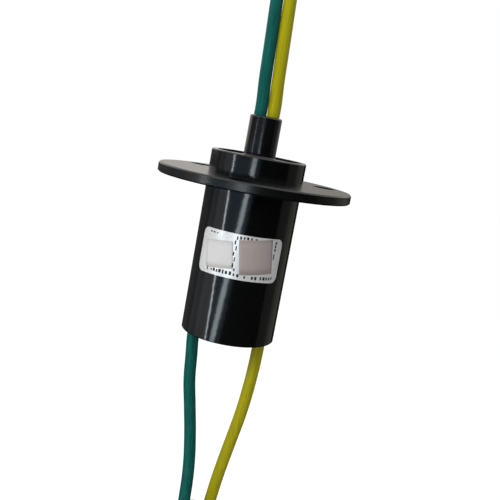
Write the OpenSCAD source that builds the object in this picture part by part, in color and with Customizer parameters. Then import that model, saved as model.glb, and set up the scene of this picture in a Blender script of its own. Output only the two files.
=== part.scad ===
// Flanged capsule slip ring with two circuits, in millimetres.
// +Z is the spin axis and points out of the collar. The origin is the centre of
// the flange's seat, the underside that bolts to a panel.

/* [Housing] */
// Outside diameter of the tube and of the collar
body_d = 22; // [21.6:0.1:24]
// Wall of the tube
tube_wall = 1.2; // [1:0.1:1.4]
// Length of the tube below the flange seat
body_len = 35.4; // [35:0.2:42]
// Diameter of the flange
flange_d = 44.8; // [43:0.2:46]
// Thickness of the flange
flange_t = 2.2; // [1.8:0.1:3]
// Height of the collar above the flange
collar_h = 5; // [4.6:0.1:7]
// Wall of the collar's rim, round the rotor disc
rim_wall = 1.3; // [1:0.1:1.6]
// Bevel of the flange's two edges
flange_edge = 0.3; // [0.1:0.05:0.6]
// Bevel of the tube's end and of the collar's rim
tube_edge = 0.25; // [0.1:0.05:0.4]
// Ledge that stops each outer bearing ring
seat_lip = 0.9; // [0.5:0.1:1]
// Thickness of the ledge under the front bearing
seat_lip_t = 1; // [0.8:0.1:1.5]

/* [Flange holes] */
// Pitch circle of the fixing holes
bolt_pcd = 35.2; // [34:0.1:36.5]
// Diameter of a fixing hole
bolt_hole_d = 5.3; // [4.2:0.1:5.6]
// Number of fixing holes
bolt_count = 3; // [3:1:4]
// Turn of the first hole from +X
bolt_turn = 20; // [0:5:60]

/* [Rotor] */
// Thickness of the rotor disc
disc_t = 1.6; // [1.2:0.1:2]
// Depth of the disc's face below the collar's rim
disc_recess = 0.5; // [0.2:0.1:0.8]
// Running gap round and under the disc
disc_gap = 0.2; // [0.15:0.05:0.3]
// Height of the outlet sleeve above the disc
sleeve_h = 9.5; // [7:0.5:12]
// Wall of the outlet sleeve
sleeve_wall = 0.7; // [0.5:0.05:0.9]
// Rounding of the sleeve's mouth
sleeve_edge = 0.4; // [0.2:0.05:0.45]
// Diameter of the neck between the barrel and the rear journal
neck_d = 6.4; // [6:0.1:7]

/* [Bearings] */
// Bore of the front bearing, and diameter of the rotor's barrel
front_bore = 8; // [7.8:0.1:8.4]
// Outside diameter of the front bearing
front_od = 16; // [15.6:0.1:16.6]
// Width of the front bearing
front_w = 4; // [3.6:0.1:4.5]
// Diameter of a front ball
front_ball_d = 2; // [1.8:0.05:2.1]
// Number of front balls
front_balls_n = 10; // [8:1:11]
// Bore of the rear bearing, and diameter of the rear journal
rear_bore = 5; // [4.8:0.1:5.2]
// Outside diameter of the rear bearing
rear_od = 9; // [8.8:0.1:9.4]
// Width of the rear bearing
rear_w = 3; // [2.5:0.1:3.2]
// Diameter of a rear ball
rear_ball_d = 1.2; // [1.1:0.05:1.25]
// Number of rear balls
rear_balls_n = 9; // [7:1:10]
// Clearance between a ball and what it rolls in
ball_gap = 0.05; // [0.04:0.01:0.08]

/* [Contact rings] */
// Outside diameter of a contact ring
ring_d = 10.4; // [10.2:0.1:10.8]
// Width of a contact ring
ring_w = 6; // [5.6:0.1:6.5]
// Brush grooves in a contact ring
groove_n = 3; // [2:1:3]
// Distance between grooves
groove_pitch = 1.8; // [1.5:0.1:1.9]
// Width of a groove
groove_w = 0.6; // [0.55:0.05:0.8]
// Depth of a groove
groove_depth = 0.4; // [0.3:0.05:0.45]
// Outside diameter of the insulating spacers
spacer_d = 11.8; // [11.2:0.1:12]
// Distance from the front circlip to the upper contact ring
upper_gap = 5.3; // [4.5:0.1:5.6]
// Distance between the two contact rings
middle_gap = 4; // [3:0.1:4.2]
// Height of the spacer under the lower contact ring
lower_gap = 3; // [2.6:0.1:3.2]
// Thickness of a circlip
clip_t = 0.6; // [0.5:0.05:0.7]
// Depth of a circlip's groove
clip_depth = 0.3; // [0.2:0.05:0.35]
// Radial width of a circlip
clip_w = 1.2; // [1:0.1:1.3]

/* [Brush boards] */
// Thickness of a board
board_t = 0.8; // [0.6:0.1:1]
// Gap between the spacers and a board
board_gap = 0.4; // [0.3:0.05:0.5]
// Distance from the top of the cavity to a board
board_drop = 2.4; // [1.5:0.1:3]
// Length of a board below the contact rings
board_tail = 3; // [2.6:0.1:3.2]
// Depth of a board's edge in its rail
rail_grip = 0.6; // [0.4:0.1:0.8]
// Thickness of the copper track
track_t = 0.1; // [0.05:0.01:0.15]
// Diameter of a brush wire
wire_d = 0.4; // [0.3:0.05:0.45]
// Length of a brush wire past the ring's middle
brush_over = 1.5; // [1:0.1:2.5]

/* [End cap] */
// Thickness of the end cap
cap_t = 1.4; // [1.2:0.1:1.8]
// Depth of the cap in the tube's end
cap_recess = 0.4; // [0.2:0.1:0.6]
// Step in the tube that stops the cap
cap_step = 0.3; // [0.2:0.05:0.4]
// Wall of the rear bearing's seat
boss_wall = 1.2; // [0.9:0.1:1.3]

/* [Label] */
// Width of the label round the tube, in degrees
label_sweep = 106.5; // [90:0.5:120]
// Height of the label
label_h = 10.1; // [8:0.1:12]
// Distance from the flange seat to the label
label_drop = 10; // [8:0.5:14]
// Turn of the label's middle from the front
label_turn = -1.75; // [-10:0.25:10]
// Rounding of the label's corners
label_corner = 1.5; // [0.8:0.1:2.5]
// Thickness of the label
label_t = 0.08; // [0.05:0.01:0.15]

/* [Leads] */
// Diameter of a lead over its insulation
lead_d = 2.9; // [2.7:0.05:2.95]
// Diameter of a lead's stranded core
core_d = 1.4; // [1.2:0.1:1.5]
// Gap between the two leads in the sleeve
lead_gap = 0.1; // [0.08:0.02:0.14]
// Stripped and tinned length at a free end
tinned_len = 6; // [4:0.5:8]
// Length of the potting in the sleeve
potting_len = 2.5; // [1.5:0.5:5]
// Depth of the potting below the sleeve's mouth
potting_drop = 0.3; // [0.1:0.1:0.8]
// Width of a tie's strap
tie_w = 3; // [2:0.5:4]
// Thickness of a tie's strap
tie_t = 0.8; // [0.6:0.1:1]

/* [Hidden] */
$fn = 96;
EPS = 0.5;            // how far a cutting tool reaches past what it cuts

BLACK = "#17181a";
METAL = "#b9bcc0";
GOLD = "#c9a24a";
COPPER = "#b8764a";
NYLON = "#e6e0d0";
BOARD = "#2f6b3c";
GREEN = "#0d5a50";
YELLOW = "#99930a";

// Radii of the housing
body_r = body_d / 2;
cavity_r = body_r - tube_wall;
chamber_r = body_r - rim_wall;
disc_r = chamber_r - disc_gap;
flange_r = flange_d / 2;
cap_r = cavity_r + cap_step;

// Radii of the rotor
lead_r = lead_d / 2;
core_r = core_d / 2;
pair_x = lead_r + lead_gap / 2;
lead_fit = 0.05;      // clearance round a lead in a hole
bore_r = pair_x + lead_r + lead_fit;
sleeve_r = bore_r + sleeve_wall;
barrel_r = front_bore / 2;
hub_r = barrel_r + seat_lip;
neck_r = neck_d / 2;
journal_r = rear_bore / 2;
clip_groove_r = barrel_r - clip_depth;
ring_r = ring_d / 2;
groove_r = ring_r - groove_depth;
spacer_r = spacer_d / 2;
spacer_bevel = 0.3;
waist_wall = 1.2;     // wall of the top spacer's waist
window_fit = 0.2;     // clearance of a core in its window
tab_step = 0.1;       // how much thinner a core is in its window
window_r = core_r + window_fit;

// Levels from the collar down to the front bearing
rim_z = flange_t + collar_h;
disc_z = rim_z - disc_recess;
disc_under_z = disc_z - disc_t;
front_top_z = disc_under_z - disc_gap;
front_under_z = front_top_z - front_w;
cavity_top_z = front_under_z - seat_lip_t;
sleeve_top_z = disc_z + sleeve_h;

// Levels down the stack of contact rings
front_clip_z = front_under_z - clip_t;
upper_ring_z = front_clip_z - upper_gap - ring_w;
lower_ring_z = upper_ring_z - middle_gap - ring_w;
stack_under_z = lower_ring_z - lower_gap;
stack_clip_z = stack_under_z - clip_t;
barrel_land = 0.8;    // barrel below the lower circlip
barrel_end_z = stack_clip_z - barrel_land;
upper_window_z = upper_ring_z + ring_w / 2;
lower_window_z = lower_ring_z + ring_w / 2;
strip_above = 2;      // bare core above the window that it leaves by
bore_below = 1;       // blind end of the bore under the lower window
bore_end_z = lower_window_z - window_r - bore_below;

// Levels at the tube's end
body_end_z = -body_len;
cap_under_z = body_end_z + cap_recess;
cap_top_z = cap_under_z + cap_t;
rear_gap = 0.2;       // under the rear bearing, and of the journal in it
rear_under_z = cap_top_z + rear_gap;
rear_top_z = rear_under_z + rear_w;
journal_end_z = rear_under_z + rear_gap;
boss_r = rear_od / 2 + boss_wall;

// Brush boards, their rails and the stator leads behind them
board_x = spacer_r + board_gap;
board_back_x = board_x + board_t;
track_x = board_back_x + track_t;
board_top_z = cavity_top_z - board_drop;
board_end_z = stack_clip_z - board_tail;
rail_wall = 0.6;
rail_fit = 0.05;      // clearance of a board in its rail, and of a wire in its hole
board_margin = 0.75;  // from a board's back corner to the cavity's wall
board_half = sqrt(cavity_r * cavity_r - board_back_x * board_back_x) - board_margin;
wire_r = wire_d / 2;
brush_touch = 0.03;   // working gap between a wire and its groove
prong_y = groove_r + wire_r + brush_touch;
brush_x = track_x + wire_r;
elbow_r = 0.5;
lead_x = track_x + core_r;
core_below = 2.4;     // bare stator core below its board
core_on_board = 2.6;  // bare stator core that lies on its board
strip_z = board_end_z - core_below;
core_top_z = board_end_z + core_on_board;
lead_hole_r = lead_r + lead_fit;

// Routes of the free leads: x, y, z of each point of the centre line
rotor_exit_z = sleeve_top_z;
stator_exit_z = cap_under_z;
green_rotor_route = concat([[-pair_x, 0, rotor_exit_z]], [
    [-1.5, 0, 19], [-1.8, 0, 24], [-2, 0, 30], [-2.2, 0, 36], [-2.4, 0, 42],
    [-2.5, 1.5, 48.5], [-2.5, 6, 53.5], [-2.5, 12.5, 55.5], [-2.5, 19, 53.5], [-2.5, 23.5, 48.5],
    [-2.5, 25, 42], [-2.3, 25, 36], [-2, 25, 29], [-1.7, 25, 22], [-1.5, 25, 15],
    [-1.5, 25, 9], [-2, 25, 3], [-4, 25, -4], [-6.8, 25, -11], [-8.7, 25, -19]]);
yellow_rotor_route = concat([[pair_x, 0, rotor_exit_z]], [
    [1.5, 0, 19], [1.2, 0, 24], [1, 0, 30], [0.8, 0, 36], [0.6, 0, 42],
    [0.5, 1.5, 48.5], [0.5, 6, 53.5], [0.5, 12.5, 55.5], [0.5, 19, 53.5], [0.5, 23.5, 48.5],
    [0.5, 25, 42], [0.7, 25, 36], [1, 25.4, 29], [1.3, 27, 22], [1.6, 29.4, 15],
    [1.9, 30.8, 9], [2.6, 31, 3], [4.3, 31, -4], [6.8, 31, -11], [8.7, 31, -19]]);
green_stator_route = concat([[-lead_x, 0, stator_exit_z]], [
    [-7.9, 0, -37.5], [-7.5, 0, -42], [-6.9, 0, -48.5], [-5.7, -0.2, -55], [-4.4, -0.8, -62],
    [-3.4, -2, -69], [-3, -3.5, -76], [-3.1, -4.4, -82.5], [-4.2, -4.5, -89], [-6.4, -4.5, -96],
    [-8.7, -4.5, -104]]);
yellow_stator_route = concat([[lead_x, 0, stator_exit_z]], [
    [7.9, 0, -37.5], [7.8, 0, -42], [7.4, 0, -48.5], [6.7, 0.1, -55], [5.6, 0.4, -62],
    [4.5, 0.8, -69], [3.6, 1.2, -76], [3.2, 1.5, -82.5], [4.2, 1.5, -89], [6.4, 1.5, -96],
    [8.7, 1.5, -104]]);

// Hanks of the stored leads: an oval of two layers for each lead
hank_bend = 8.7;
hank_layer = 3;
hank_gap = 0.1;       // between one hank and the next
rotor_hank_z = [-31.5, -5];
rotor_hank_y = [25, 31];
stator_hank_z = [-137, -91.5];
stator_hank_y = [-4.5, 1.5];
rotor_end_z = -31.5;
stator_end_z = -137;
rotor_tie_z = -25;
stator_tie_z = -110;
tube_sides = 8;

// ---- Housing: flange, collar and tube in one moulding ----

module housing_profile() {
    polygon([
        [cap_r, body_end_z],
        [body_r - tube_edge, body_end_z],
        [body_r, body_end_z + tube_edge],
        [body_r, 0],
        [flange_r - flange_edge, 0],
        [flange_r, flange_edge],
        [flange_r, flange_t - flange_edge],
        [flange_r - flange_edge, flange_t],
        [body_r, flange_t],
        [body_r, rim_z - tube_edge],
        [body_r - tube_edge, rim_z],
        [chamber_r, rim_z],
        [chamber_r, front_top_z],
        [front_od / 2, front_top_z],
        [front_od / 2, front_under_z],
        [front_od / 2 - seat_lip, front_under_z],
        [front_od / 2 - seat_lip, cavity_top_z],
        [cavity_r, cavity_top_z],
        [cavity_r, cap_top_z],
        [cap_r, cap_top_z]]);
}

// One channel for a board's edge, closed above the board
module board_rail() {
    difference() {
        intersection() {
            translate([board_x - rail_wall, board_half - rail_grip, board_end_z])
                cube([board_t + 2 * rail_wall, body_r, cavity_top_z + EPS - board_end_z]);
            translate([0, 0, board_end_z])
                cylinder(r = cavity_r + tube_wall / 2, h = cavity_top_z + EPS - board_end_z);
        }
        translate([board_x - rail_fit, board_half - rail_grip - EPS, board_end_z - EPS])
            cube([board_t + 2 * rail_fit, rail_grip + rail_fit + EPS, board_top_z + EPS - board_end_z]);
    }
}

module housing() {
    color(BLACK) {
        difference() {
            rotate_extrude() housing_profile();
            for (i = [0 : bolt_count - 1])
                rotate(bolt_turn + i * 360 / bolt_count)
                    translate([bolt_pcd / 2, 0, -EPS])
                        cylinder(d = bolt_hole_d, h = flange_t + 2 * EPS);
        }
        for (x = [0, 1], y = [0, 1])
            mirror([x, 0, 0]) mirror([0, y, 0]) board_rail();
    }
}

module end_cap() {
    color(BLACK) difference() {
        rotate_extrude() polygon([
            [0, cap_under_z],
            [cap_r, cap_under_z],
            [cap_r, cap_top_z],
            [boss_r, cap_top_z],
            [boss_r, rear_top_z],
            [rear_od / 2, rear_top_z],
            [rear_od / 2, rear_under_z],
            [rear_od / 2 - seat_lip / 2, rear_under_z],
            [rear_od / 2 - seat_lip / 2, cap_top_z],
            [0, cap_top_z]]);
        for (side = [-1, 1])
            translate([side * lead_x, 0, cap_under_z - EPS])
                cylinder(r = lead_hole_r, h = cap_t + 2 * EPS);
    }
}

// A thin sleeve cut to a rounded rectangle that is drawn on the curved wall
module label() {
    half_w = body_r * label_sweep / 2 * PI / 180;
    half_h = label_h / 2;
    function on_wall(s, z) = [body_r * sin(s / body_r * 180 / PI), z];
    outline = [for (q = [0 : 3], a = [0 : 15 : 90])
        let (turn = q * 90 + a,
            mid_s = (q == 0 || q == 3 ? 1 : -1) * (half_w - label_corner),
            mid_z = (q < 2 ? 1 : -1) * (half_h - label_corner))
        on_wall(mid_s + label_corner * cos(turn), mid_z + label_corner * sin(turn))];
    color("#d9dad6") translate([0, 0, -label_drop - half_h]) intersection() {
        difference() {
            cylinder(r = body_r + label_t, h = label_h + EPS, center = true);
            cylinder(r = body_r, h = label_h + 2 * EPS, center = true);
        }
        rotate(label_turn) rotate([90, 0, 0]) linear_extrude(body_d) polygon(outline);
    }
}

// ---- Ball bearings: x is the bore, y the outside diameter ----

function pitch_r(bore, od) = (bore + od) / 4;
land = 0.35;          // race land from the pitch circle, as a share of the ball
cage_share = 0.25;    // half the cage's radial width, as a share of the ball
cage_h = 0.7;         // height of a cage, as a share of the bearing's width

module race(from_r, to_r, pitch, w, ball) {
    bevel = 0.15;
    rotate_extrude() difference() {
        polygon([
            [from_r + bevel, -w / 2], [to_r - bevel, -w / 2], [to_r, -w / 2 + bevel],
            [to_r, w / 2 - bevel], [to_r - bevel, w / 2], [from_r + bevel, w / 2],
            [from_r, w / 2 - bevel], [from_r, -w / 2 + bevel]]);
        translate([pitch, 0]) circle(d = ball + 2 * ball_gap);
    }
}

module inner_ring(bore, od, w, ball) {
    pitch = pitch_r(bore, od);
    color(METAL) race(bore / 2, pitch - land * ball, pitch, w, ball);
}

module outer_ring(bore, od, w, ball) {
    pitch = pitch_r(bore, od);
    color(METAL) race(pitch + land * ball, od / 2, pitch, w, ball);
}

module ball_row(bore, od, ball, count) {
    for (i = [0 : count - 1])
        rotate(i * 360 / count)
            translate([pitch_r(bore, od), 0, 0]) sphere(d = ball);
}

// A solid cage: a band with a round pocket drilled through for each ball
module cage(bore, od, w, ball, count) {
    pitch = pitch_r(bore, od);
    color("#c9b27a") difference() {
        rotate_extrude()
            translate([pitch - cage_share * ball, -w * cage_h / 2])
                square([2 * cage_share * ball, w * cage_h]);
        for (i = [0 : count - 1])
            rotate(i * 360 / count) rotate([0, 90, 0])
                cylinder(d = ball + 2 * ball_gap, h = pitch + ball);
    }
}

module at_front() translate([0, 0, front_under_z + front_w / 2]) children();
module at_rear() translate([0, 0, rear_under_z + rear_w / 2]) children();

module front_outer_ring() at_front() outer_ring(front_bore, front_od, front_w, front_ball_d);
module front_inner_ring() at_front() inner_ring(front_bore, front_od, front_w, front_ball_d);
module front_balls()
    at_front() color(METAL) ball_row(front_bore, front_od, front_ball_d, front_balls_n);
module front_cage()
    at_front() cage(front_bore, front_od, front_w, front_ball_d, front_balls_n);
module rear_outer_ring() at_rear() outer_ring(rear_bore, rear_od, rear_w, rear_ball_d);
module rear_inner_ring() at_rear() inner_ring(rear_bore, rear_od, rear_w, rear_ball_d);
module rear_balls()
    at_rear() color(METAL) ball_row(rear_bore, rear_od, rear_ball_d, rear_balls_n);
module rear_cage()
    at_rear() cage(rear_bore, rear_od, rear_w, rear_ball_d, rear_balls_n);

// ---- Rotor: sleeve, disc, barrel and journal in one moulding ----

module shaft_profile() {
    flare = 0.25;
    round_in = sleeve_edge * (1 - cos(45));
    polygon([
        [bore_r, sleeve_top_z],
        [sleeve_r - sleeve_edge, sleeve_top_z],
        [sleeve_r - round_in, sleeve_top_z - round_in],
        [sleeve_r, sleeve_top_z - sleeve_edge],
        [sleeve_r, disc_z + 2 * flare],
        [sleeve_r + flare, disc_z],
        [disc_r - tube_edge, disc_z],
        [disc_r, disc_z - tube_edge],
        [disc_r, disc_under_z],
        [hub_r, disc_under_z],
        [hub_r, front_top_z],
        [barrel_r, front_top_z],
        [barrel_r, front_under_z],
        [clip_groove_r, front_under_z],
        [clip_groove_r, front_clip_z],
        [barrel_r, front_clip_z],
        [barrel_r, stack_under_z],
        [clip_groove_r, stack_under_z],
        [clip_groove_r, stack_clip_z],
        [barrel_r, stack_clip_z],
        [barrel_r, barrel_end_z],
        [neck_r, barrel_end_z],
        [neck_r, rear_top_z],
        [journal_r, rear_top_z],
        [journal_r, journal_end_z],
        [0, journal_end_z],
        [0, bore_end_z],
        [bore_r, bore_end_z]]);
}

module rotor_shaft() {
    color(BLACK) difference() {
        rotate_extrude() shaft_profile();
        translate([0, 0, upper_window_z]) rotate([0, -90, 0])
            cylinder(r = window_r, h = barrel_r + EPS);
        translate([0, 0, lower_window_z]) rotate([0, 90, 0])
            cylinder(r = window_r, h = barrel_r + EPS);
    }
}

// An open ring with two lugs for pliers
module circlip(z, turn) {
    mouth = 25;
    lug_turn = mouth + 10;
    lug_r = 0.85;
    hole_r = 0.4;
    outer_r = clip_groove_r + clip_w;
    lug_at = outer_r + 0.3;
    reach = 2 * outer_r;
    color(METAL) translate([0, 0, z]) rotate(turn) linear_extrude(clip_t) difference() {
        union() {
            circle(r = outer_r);
            for (side = [-1, 1])
                rotate(side * lug_turn) translate([lug_at, 0]) circle(r = lug_r);
        }
        circle(r = clip_groove_r);
        polygon([[0, 0], reach * [cos(mouth), -sin(mouth)], reach * [cos(mouth), sin(mouth)]]);
        for (side = [-1, 1])
            rotate(side * lug_turn) translate([lug_at, 0]) circle(r = hole_r);
    }
}

module bearing_circlip() circlip(front_clip_z, 90);
module stack_circlip() circlip(stack_clip_z, 90);

// A slip ring: a gold-faced brass band with a groove for each pair of wires
module contact_ring(z) {
    flare = 0.08;
    half_w = groove_w / 2;
    color(GOLD) translate([0, 0, z]) rotate_extrude() difference() {
        translate([barrel_r, 0]) square([ring_r - barrel_r, ring_w]);
        for (i = [0 : groove_n - 1])
            translate([groove_r, ring_w / 2 + (i - (groove_n - 1) / 2) * groove_pitch])
                polygon([[0, -half_w], [groove_depth + EPS, -half_w - flare],
                    [groove_depth + EPS, half_w + flare], [0, half_w]]);
    }
}

module upper_contact_ring() contact_ring(upper_ring_z);
module lower_contact_ring() contact_ring(lower_ring_z);

// Insulating barrier between live rings, with bevelled rims
module spacer(z, h) {
    bevel = spacer_bevel;
    color(NYLON) translate([0, 0, z]) rotate_extrude() polygon([
        [barrel_r, 0], [spacer_r - bevel, 0], [spacer_r, bevel],
        [spacer_r, h - bevel], [spacer_r - bevel, h], [barrel_r, h]]);
}

// The top spacer is waisted where it passes the bearing's ledge
module upper_spacer() {
    rim = 1.6;
    bevel = spacer_bevel;
    waist_r = barrel_r + waist_wall;
    color(NYLON) translate([0, 0, upper_ring_z + ring_w]) rotate_extrude() polygon([
        [barrel_r, 0], [spacer_r - bevel, 0], [spacer_r, bevel], [spacer_r, rim],
        [waist_r, rim + spacer_r - waist_r], [waist_r, upper_gap], [barrel_r, upper_gap]]);
}

module middle_spacer() spacer(lower_ring_z + ring_w, middle_gap);
module lower_spacer() spacer(stack_under_z, lower_gap);

// ---- Brush boards: side -1 is the green circuit, +1 the yellow ----

function brush_z(side, i) = (side < 0 ? upper_window_z : lower_window_z)
    + (i - (groove_n - 1) / 2) * groove_pitch;

module to_side(side) mirror([side < 0 ? 1 : 0, 0, 0]) children();

module brush_board(side) {
    color(BOARD) to_side(side) difference() {
        translate([board_x, -board_half, board_end_z])
            cube([board_t, 2 * board_half, board_top_z - board_end_z]);
        for (i = [0 : groove_n - 1], y = [-1, 1])
            translate([board_x - EPS, y * prong_y, brush_z(side, i)])
                rotate([0, 90, 0]) cylinder(r = wire_r + rail_fit, h = board_t + 2 * EPS);
    }
}

// Copper on the board's back: a pad under the brushes, a run and a lead pad
module board_track(side) {
    margin = 0.8;         // pad beyond the outer brushes
    inset = 0.6;          // pad's side inside a brush's bend
    run_w = 1.6;
    lead_pad = [3.2, 3];
    lead_pad_z = board_end_z + 0.4;
    pad_h = (groove_n - 1) * groove_pitch + 2 * margin;
    pad_w = 2 * (prong_y - elbow_r - inset);
    pad_z = (side < 0 ? upper_window_z : lower_window_z) - pad_h / 2;
    color(COPPER) to_side(side) translate([board_back_x, 0, 0]) rotate([90, 0, 90])
        linear_extrude(track_t) {
            translate([-pad_w / 2, pad_z]) square([pad_w, pad_h]);
            translate([-run_w / 2, lead_pad_z]) square([run_w, pad_z + pad_h / 2 - lead_pad_z]);
            translate([-lead_pad.x / 2, lead_pad_z]) square(lead_pad);
        }
}

// One brush: a wire bent to a staple, its two prongs astride the ring
module brush_fork() {
    bend_y = prong_y - elbow_r;
    prong_x = brush_x - elbow_r;
    translate([brush_x, bend_y, 0]) rotate([90, 0, 0]) cylinder(r = wire_r, h = 2 * bend_y);
    for (y = [0, 1]) mirror([0, y, 0]) {
        translate([prong_x, bend_y, 0]) rotate_extrude(angle = 90)
            translate([elbow_r, 0]) circle(r = wire_r);
        translate([-brush_over, prong_y, 0]) rotate([0, 90, 0])
            cylinder(r = wire_r, h = prong_x + brush_over);
    }
}

module brushes(side) {
    color(GOLD) to_side(side)
        for (i = [0 : groove_n - 1]) translate([0, 0, brush_z(side, i)]) brush_fork();
}

module green_brush_board() brush_board(-1);
module yellow_brush_board() brush_board(1);
module green_track() board_track(-1);
module yellow_track() board_track(1);
module green_brushes() brushes(-1);
module yellow_brushes() brushes(1);

// A saddle of solder over each stator core, open where the core meets its pad
module solder_joints() {
    solder_wall = 0.45;
    solder_h = 2;
    bare_tip = 0.4;
    solder_r = core_r + solder_wall;
    solder_z = core_top_z - bare_tip - solder_h;
    slot_w = 1.8 * core_r;
    color(METAL) for (side = [-1, 1]) to_side(side)
        translate([lead_x, 0, solder_z]) linear_extrude(solder_h) difference() {
            circle(r = solder_r);
            circle(r = core_r);
            translate([-2 * solder_r, -slot_w / 2]) square([2 * solder_r, slot_w]);
            translate([-core_r - solder_r, -solder_r - EPS])
                square([solder_r, 2 * (solder_r + EPS)]);
        }
}

// ---- Leads inside the part ----

module sleeve_potting() {
    top = sleeve_top_z - potting_drop;
    color("#202022") difference() {
        translate([0, 0, top - potting_len]) cylinder(r = bore_r, h = potting_len);
        for (side = [-1, 1])
            translate([side * pair_x, 0, top - potting_len - EPS])
                cylinder(r = lead_r, h = potting_len + 2 * EPS);
    }
}

module rotor_tail(side, window_z) {
    translate([side * pair_x, 0, window_z + strip_above])
        cylinder(r = lead_r, h = sleeve_top_z - window_z - strip_above);
}

// The bare core turns out through the window and meets the ring's bore
module rotor_core(side, window_z) {
    tab_r = core_r - tab_step;
    color(COPPER) {
        translate([side * pair_x, 0, window_z - core_r])
            cylinder(r = core_r, h = strip_above + core_r);
        intersection() {
            translate([side * pair_x, 0, window_z]) rotate([0, side * 90, 0])
                cylinder(r = tab_r, h = barrel_r);
            translate([0, 0, window_z - core_d]) cylinder(r = barrel_r, h = 2 * core_d);
        }
    }
}

module stator_tail(side) {
    translate([side * lead_x, 0, cap_under_z])
        cylinder(r = lead_r, h = strip_z - cap_under_z);
}

module stator_core(side) {
    color(COPPER) translate([side * lead_x, 0, strip_z])
        cylinder(r = core_r, h = core_top_z - strip_z);
}

module green_rotor_tail() color(GREEN) rotor_tail(-1, upper_window_z);
module yellow_rotor_tail() color(YELLOW) rotor_tail(1, lower_window_z);
module green_rotor_core() rotor_core(-1, upper_window_z);
module yellow_rotor_core() rotor_core(1, lower_window_z);
module green_stator_tail() color(GREEN) stator_tail(-1);
module yellow_stator_tail() color(YELLOW) stator_tail(1);
module green_stator_core() stator_core(-1);
module yellow_stator_core() stator_core(1);

// ---- Free leads ----

function unit(v) = v / norm(v);
function heading(path, i) = unit(path[min(i + 1, len(path) - 1)] - path[max(i - 1, 0)]);

// A tube swept along a route, one ring of corners at each point
module swept_tube(path, r) {
    n = tube_sides;
    last = len(path) - 1;
    points = [for (i = [0 : last])
        let (t = i == 0 ? unit(path[1] - path[0]) : heading(path, i),
            u = unit(cross(t, [1, 0, 0])), v = cross(t, u))
        for (k = [0 : n - 1]) path[i] + r * (cos(k * 360 / n) * u + sin(k * 360 / n) * v)];
    sides = [for (i = [0 : last - 1], k = [0 : n - 1])
        [i * n + k, i * n + (k + 1) % n, (i + 1) * n + (k + 1) % n, (i + 1) * n + k]];
    ends = [[for (k = [n - 1 : -1 : 0]) k], [for (k = [0 : n - 1]) last * n + k]];
    polyhedron(points, concat(sides, ends));
}

module oval(ends, r) {
    for (z = ends) translate([0, z]) circle(r = r);
    translate([-r, ends[0]]) square([2 * r, ends[1] - ends[0]]);
}

// The outer shape of one lead's hank: an oval band two layers deep
module hank(ends, y) {
    half = hank_layer / 2;
    translate([0, y - half + 2 * hank_layer - hank_gap / 2, 0]) rotate([90, 0, 0])
        linear_extrude(2 * hank_layer - hank_gap) difference() {
            oval(ends, hank_bend + half);
            oval(ends, hank_bend - half);
        }
}

// A strap round a pair of hanks, with its locking head at the back
module tie(z, y) {
    fit = 0.05;
    half_x = hank_bend + hank_layer / 2 + fit;
    low_y = y[0] - hank_layer / 2 - fit;
    high_y = y[1] + 1.5 * hank_layer + fit;
    bevel = 1.2;
    module frame(grow) polygon([
        [-half_x - grow + bevel, low_y - grow], [half_x + grow - bevel, low_y - grow],
        [half_x + grow, low_y - grow + bevel], [half_x + grow, high_y + grow - bevel],
        [half_x + grow - bevel, high_y + grow], [-half_x - grow + bevel, high_y + grow],
        [-half_x - grow, high_y + grow - bevel], [-half_x - grow, low_y - grow + bevel]]);
    head = [4.4, 2.4, tie_w + 1.6];
    translate([0, 0, z - tie_w / 2]) linear_extrude(tie_w) difference() {
        frame(tie_t);
        translate([-half_x, low_y]) square([2 * half_x, high_y - low_y]);
    }
    translate([-head.x / 2, high_y, z - head.z / 2]) cube(head);
}

module wire_end(x, y, z) translate([x, y, z - tinned_len]) cylinder(r = core_r, h = tinned_len);

module green_rotor_lead() color(GREEN) swept_tube(green_rotor_route, lead_r);
module yellow_rotor_lead() color(YELLOW) swept_tube(yellow_rotor_route, lead_r);
module green_stator_lead() color(GREEN) swept_tube(green_stator_route, lead_r);
module yellow_stator_lead() color(YELLOW) swept_tube(yellow_stator_route, lead_r);
module green_rotor_hank() color(GREEN) hank(rotor_hank_z, rotor_hank_y[0]);
module yellow_rotor_hank() color(YELLOW) hank(rotor_hank_z, rotor_hank_y[1]);
module green_stator_hank() color(GREEN) hank(stator_hank_z, stator_hank_y[0]);
module yellow_stator_hank() color(YELLOW) hank(stator_hank_z, stator_hank_y[1]);
module rotor_lead_tie() color(BLACK) tie(rotor_tie_z, rotor_hank_y);
module stator_lead_tie() color(BLACK) tie(stator_tie_z, stator_hank_y);

module rotor_wire_ends() color(METAL) {
    wire_end(-hank_bend, rotor_hank_y[0] + hank_layer, rotor_end_z);
    wire_end(hank_bend, rotor_hank_y[1] + hank_layer, rotor_end_z);
}

module stator_wire_ends() color(METAL) {
    wire_end(-hank_bend, stator_hank_y[0] + hank_layer, stator_end_z);
    wire_end(hank_bend, stator_hank_y[1] + hank_layer, stator_end_z);
}

housing();
end_cap();
label();
front_outer_ring();
front_inner_ring();
front_balls();
front_cage();
rear_outer_ring();
rear_inner_ring();
rear_balls();
rear_cage();
rotor_shaft();
bearing_circlip();
stack_circlip();
upper_contact_ring();
lower_contact_ring();
upper_spacer();
middle_spacer();
lower_spacer();
green_brush_board();
yellow_brush_board();
green_track();
yellow_track();
green_brushes();
yellow_brushes();
solder_joints();
sleeve_potting();
green_rotor_tail();
yellow_rotor_tail();
green_rotor_core();
yellow_rotor_core();
green_stator_tail();
yellow_stator_tail();
green_stator_core();
yellow_stator_core();
green_rotor_lead();
yellow_rotor_lead();
green_rotor_hank();
yellow_rotor_hank();
green_stator_lead();
yellow_stator_lead();
green_stator_hank();
yellow_stator_hank();
rotor_wire_ends();
stator_wire_ends();
rotor_lead_tie();
stator_lead_tie();
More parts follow.
